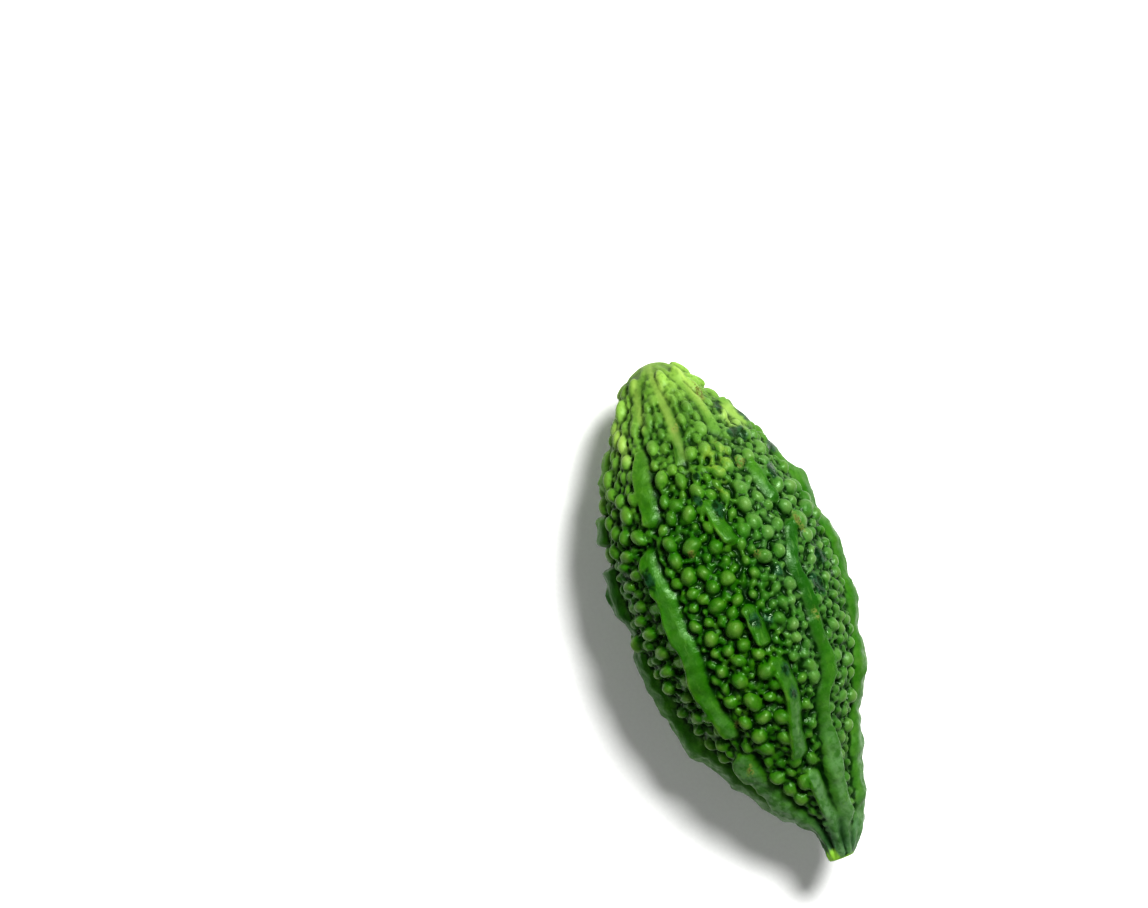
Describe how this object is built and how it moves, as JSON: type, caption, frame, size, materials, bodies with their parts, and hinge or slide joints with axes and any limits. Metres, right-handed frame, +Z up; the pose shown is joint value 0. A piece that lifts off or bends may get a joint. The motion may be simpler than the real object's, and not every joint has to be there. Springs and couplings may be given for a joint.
{
  "type": "bitter gourd",
  "caption": "Warty green bitter gourd with lengthwise ridges, a rounded blossom end and a short cut stem, lying on its side.",
  "frame": {"origin": "under the middle of the fruit's box, on the surface that it lies on", "axes": "+Z up, +X along the fruit from its blossom end to its cut stem, +Y across it"},
  "size_m": [0.15, 0.0676, 0.059],
  "materials": {
    "gourd_skin": "waxy, softly glossy skin, bright to dark green, paler at the blossom end and the stem"
  },
  "bodies": {
    "root": {"gourd": "gourd_skin"}
  },
  "joints": []
}
